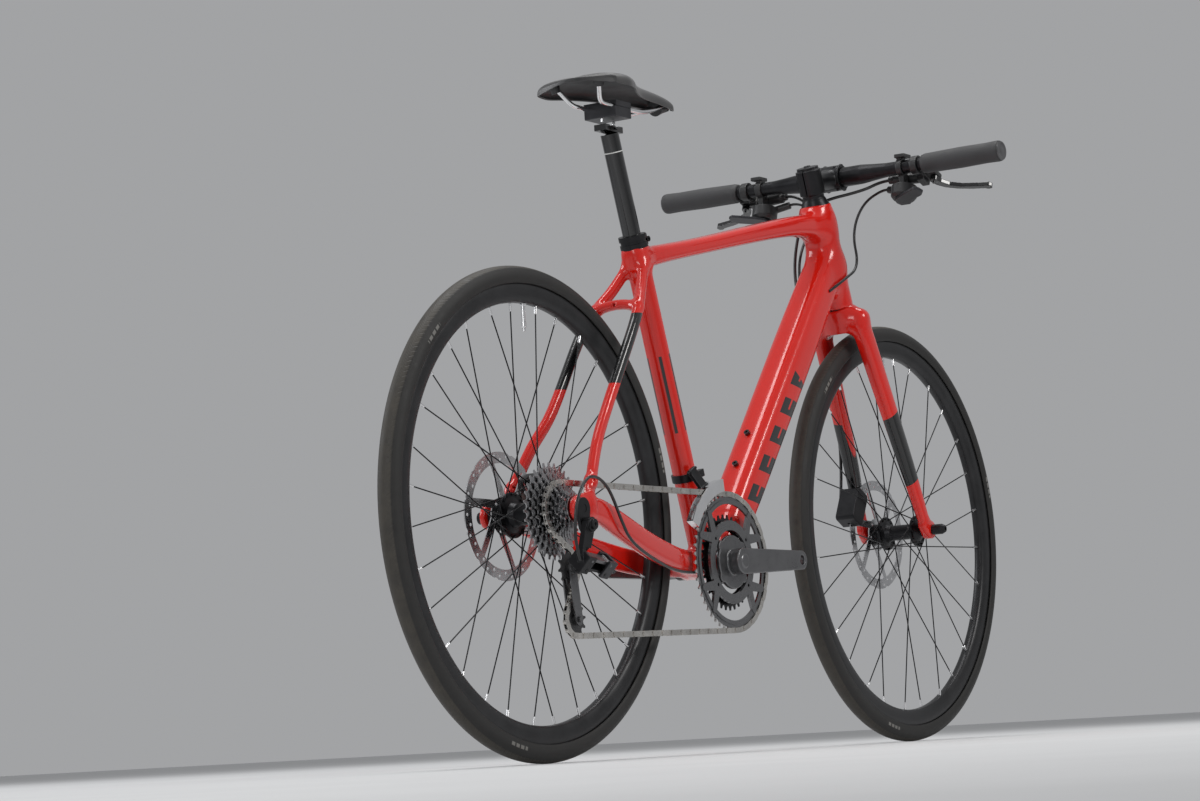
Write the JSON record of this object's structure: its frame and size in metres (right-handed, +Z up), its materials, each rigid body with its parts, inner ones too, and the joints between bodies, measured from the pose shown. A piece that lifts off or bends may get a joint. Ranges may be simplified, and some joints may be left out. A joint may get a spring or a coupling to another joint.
{
  "type": "road bicycle",
  "caption": "Flat-bar road bicycle without pedals: hydraulic disc brakes, double chainset, front and rear derailleurs, thru-axle wheels and sloping top tube.",
  "frame": {"origin": "on the ground, half way between the wheel axles, in the bicycle's middle plane", "axes": "+X forward towards the front wheel, +Y to the rider's left, +Z up"},
  "size_m": [1.7504, 0.6284, 0.984],
  "materials": {
    "frame_paint": "gloss orange-red with black panels",
    "black_anodised": "satin black",
    "satin_grey": "satin grey",
    "bright_metal": "polished",
    "brushed_steel": "brushed",
    "dark_steel": "oiled",
    "tyre": "matt black rubber",
    "rim": "satin dark grey",
    "grip_rubber": "textured",
    "hose": "smooth",
    "black_plastic": "satin",
    "saddle_cover": "satin",
    "gloss_black": "gloss",
    "pad": "matt"
  },
  "bodies": {
    "frame": {"head_tube": "frame_paint", "top_tube": "frame_paint", "down_tube": "frame_paint", "seat_tube": "frame_paint", "chainstay_left": "frame_paint", "chainstay_right": "frame_paint", "seatstays": "frame_paint", "derailleur_hanger": "black_anodised", "seat_clamp": "black_anodised", "bottle_bolts": "dark_steel", "bottom_bracket_cups": "black_anodised", "headset_bearings": "brushed_steel", "rear_thru_axle": "black_anodised", "rear_caliper": "black_anodised", "front_derailleur_clamp": "black_anodised", "cables_and_hoses": "hose", "chain": "brushed_steel"},
    "steering": {"fork_crown": "frame_paint", "fork_leg_left": "frame_paint", "fork_leg_right": "frame_paint", "stem": "black_anodised", "handlebar": "black_anodised", "grips": "grip_rubber", "brake_lever_bodies": "black_plastic", "shifter_bodies": "black_plastic", "front_caliper": "black_anodised", "front_thru_axle": "black_anodised"},
    "front_wheel": {"front_tyre": "tyre", "front_rim": "rim", "front_spokes": "dark_steel", "front_hub": "black_anodised", "front_rotor": "brushed_steel"},
    "rear_wheel": {"rear_tyre": "tyre", "rear_rim": "rim", "rear_spokes": "dark_steel", "rear_hub": "black_anodised", "rear_rotor": "brushed_steel"},
    "crankset": {"chainrings": "satin_grey", "crank_arm_right": "satin_grey", "crank_arm_left": "satin_grey"},
    "cassette": {"cassette": "brushed_steel"},
    "derailleur_b_knuckle": {"derailleur_b_knuckle": "black_anodised"},
    "derailleur_outer_link": {"derailleur_outer_link": "satin_grey"},
    "derailleur_inner_link": {"derailleur_inner_link": "black_anodised"},
    "derailleur_p_knuckle": {"derailleur_p_knuckle": "black_anodised"},
    "derailleur_cage": {"derailleur_cage": "satin_grey"},
    "guide_pulley": {"guide_pulley": "black_plastic"},
    "tension_pulley": {"tension_pulley": "black_plastic"},
    "front_derailleur_link": {"front_derailleur_link": "black_anodised"},
    "front_derailleur_cage": {"front_derailleur_cage": "bright_metal"},
    "left_brake_lever": {"brake_lever_left": "black_anodised"},
    "right_brake_lever": {"brake_lever_right": "black_anodised"},
    "left_shift_paddle": {"shift_paddle_left": "black_plastic"},
    "right_shift_paddle": {"shift_paddle_right": "black_plastic"},
    "front_inner_pad": {"front_pad_inner": "pad"},
    "front_outer_pad": {"front_pad_outer": "pad"},
    "rear_inner_pad": {"rear_pad_inner": "pad"},
    "rear_outer_pad": {"rear_pad_outer": "pad"},
    "seatpost": {"seatpost": "gloss_black"},
    "saddle": {"saddle": "saddle_cover"}
  },
  "joints": [
    {"name": "steering_turn", "type": "hinge", "parent": "frame", "child": "steering", "pos_m": [0.34499, 0, 0.78725], "axis": [-0.3007, 0, 0.9537], "range_deg": [-75, 75], "deforming": ["cables_and_hoses"]},
    {"name": "front_wheel_spin", "type": "hinge", "parent": "steering", "child": "front_wheel", "pos_m": [0.53225, 0, 0.343], "axis": [0, 1, 0], "continuous": true},
    {"name": "rear_wheel_spin", "type": "hinge", "parent": "frame", "child": "rear_wheel", "pos_m": [-0.53225, 0, 0.343], "axis": [0, 1, 0], "continuous": true},
    {"name": "crank_turn", "type": "hinge", "parent": "frame", "child": "crankset", "pos_m": [-0.08825, 0, 0.28], "axis": [0, 1, 0], "continuous": true, "deforming": ["chain"]},
    {"name": "cassette_turn", "type": "hinge", "parent": "frame", "child": "cassette", "pos_m": [-0.53225, 0, 0.343], "axis": [0, 1, 0], "continuous": true},
    {"name": "derailleur_hanger_pivot", "type": "hinge", "parent": "frame", "child": "derailleur_b_knuckle", "pos_m": [-0.53125, -0.088, 0.32], "axis": [0, 1, 0], "range_deg": [0, 5], "stiffness_Nm_per_rad": 2, "deforming": ["chain", "cables_and_hoses"]},
    {"name": "derailleur_outer_link_turn", "type": "hinge", "parent": "derailleur_b_knuckle", "child": "derailleur_outer_link", "pos_m": [-0.54225, -0.09102, 0.27694], "axis": [0.0806, 0.7424, 0.6651], "range_deg": [-36, 32], "deforming": ["chain", "cables_and_hoses"]},
    {"name": "derailleur_inner_link_turn", "type": "hinge", "parent": "derailleur_b_knuckle", "child": "derailleur_inner_link", "pos_m": [-0.54359, -0.08098, 0.26589], "axis": [0.0806, 0.7424, 0.6651], "range_deg": [-36, 32]},
    {"name": "derailleur_p_knuckle_turn", "type": "hinge", "parent": "derailleur_outer_link", "child": "derailleur_p_knuckle", "pos_m": [-0.49758, -0.09102, 0.27153], "axis": [0.0806, 0.7424, 0.6651], "range_deg": [-32, 36]},
    {"name": "derailleur_cage_swing", "type": "hinge", "parent": "derailleur_p_knuckle", "child": "derailleur_cage", "pos_m": [-0.50825, -0.055, 0.268], "axis": [0, 1, 0], "range_deg": [-55, 8], "stiffness_Nm_per_rad": 0.4, "springref_deg": 5.73, "deforming": ["chain"]},
    {"name": "guide_pulley_spin", "type": "hinge", "parent": "derailleur_cage", "child": "guide_pulley", "pos_m": [-0.52114, -0.046, 0.26541], "axis": [0, 1, 0], "continuous": true},
    {"name": "tension_pulley_spin", "type": "hinge", "parent": "derailleur_cage", "child": "tension_pulley", "pos_m": [-0.51187, -0.046, 0.19376], "axis": [0, 1, 0], "continuous": true},
    {"name": "front_derailleur_link_turn", "type": "hinge", "parent": "frame", "child": "front_derailleur_link", "pos_m": [-0.15401, -0.0275, 0.41482], "axis": [0.8988, 0, 0.4384], "range_deg": [0, 10], "deforming": ["chain", "cables_and_hoses"]},
    {"name": "front_derailleur_cage_turn", "type": "hinge", "parent": "front_derailleur_link", "child": "front_derailleur_cage", "pos_m": [-0.14173, -0.039, 0.38965], "axis": [0.8988, 0, 0.4384], "range_deg": [-10, 0], "deforming": ["chain"]},
    {"name": "left_brake_lever_pull", "type": "hinge", "parent": "steering", "child": "left_brake_lever", "pos_m": [0.39975, 0.176, 0.896], "axis": [0.361, 0, 0.9326], "range_deg": [0, 18], "stiffness_Nm_per_rad": 1, "springref_deg": -5.73},
    {"name": "right_brake_lever_pull", "type": "hinge", "parent": "steering", "child": "right_brake_lever", "pos_m": [0.39975, -0.176, 0.896], "axis": [-0.361, 0, -0.9326], "range_deg": [0, 18], "stiffness_Nm_per_rad": 1, "springref_deg": -5.73},
    {"name": "left_shift_paddle_push", "type": "hinge", "parent": "steering", "child": "left_shift_paddle", "pos_m": [0.38175, 0.13, 0.879], "axis": [-0.3011, 0, -0.9536], "range_deg": [0, 20], "stiffness_Nm_per_rad": 0.3, "springref_deg": -5.73},
    {"name": "right_shift_paddle_push", "type": "hinge", "parent": "steering", "child": "right_shift_paddle", "pos_m": [0.38175, -0.13, 0.879], "axis": [0.3011, 0, 0.9536], "range_deg": [0, 20], "stiffness_Nm_per_rad": 0.3, "springref_deg": -5.73},
    {"name": "seatpost_height", "type": "slide", "parent": "frame", "child": "seatpost", "axis": [-0.3007, 0, 0.9537], "range_m": [-0.09, 0]},
    {"name": "saddle_tilt", "type": "hinge", "parent": "seatpost", "child": "saddle", "pos_m": [-0.28712, 0, 0.93508], "axis": [0, 1, 0], "range_deg": [-6, 6]},
    {"name": "front_inner_pad_squeeze", "type": "slide", "parent": "steering", "child": "front_inner_pad", "axis": [0, 1, 0], "range_m": [0, 0.00055]},
    {"name": "front_outer_pad_squeeze", "type": "slide", "parent": "steering", "child": "front_outer_pad", "axis": [0, -1, 0], "range_m": [0, 0.00055]},
    {"name": "rear_inner_pad_squeeze", "type": "slide", "parent": "frame", "child": "rear_inner_pad", "axis": [0, 1, 0], "range_m": [0, 0.00055]},
    {"name": "rear_outer_pad_squeeze", "type": "slide", "parent": "frame", "child": "rear_outer_pad", "axis": [0, -1, 0], "range_m": [0, 0.00055]}
  ],
  "couplings": [
    {"joint": "cassette_turn", "follows": "crank_turn", "ratio": 2.6316},
    {"joint": "tension_pulley_spin", "follows": "crank_turn", "ratio": 4.5455},
    {"joint": "guide_pulley_spin", "follows": "crank_turn", "ratio": -4.5455},
    {"joint": "derailleur_inner_link_turn", "follows": "derailleur_outer_link_turn", "ratio": 1},
    {"joint": "derailleur_p_knuckle_turn", "follows": "derailleur_outer_link_turn", "ratio": -1},
    {"joint": "front_derailleur_cage_turn", "follows": "front_derailleur_link_turn", "ratio": -1},
    {"joint": "front_inner_pad_squeeze", "follows": "left_brake_lever_pull", "m_per_rad": 0.001716},
    {"joint": "front_outer_pad_squeeze", "follows": "left_brake_lever_pull", "m_per_rad": 0.001716},
    {"joint": "rear_inner_pad_squeeze", "follows": "right_brake_lever_pull", "m_per_rad": 0.001716},
    {"joint": "rear_outer_pad_squeeze", "follows": "right_brake_lever_pull", "m_per_rad": 0.001716}
  ]
}
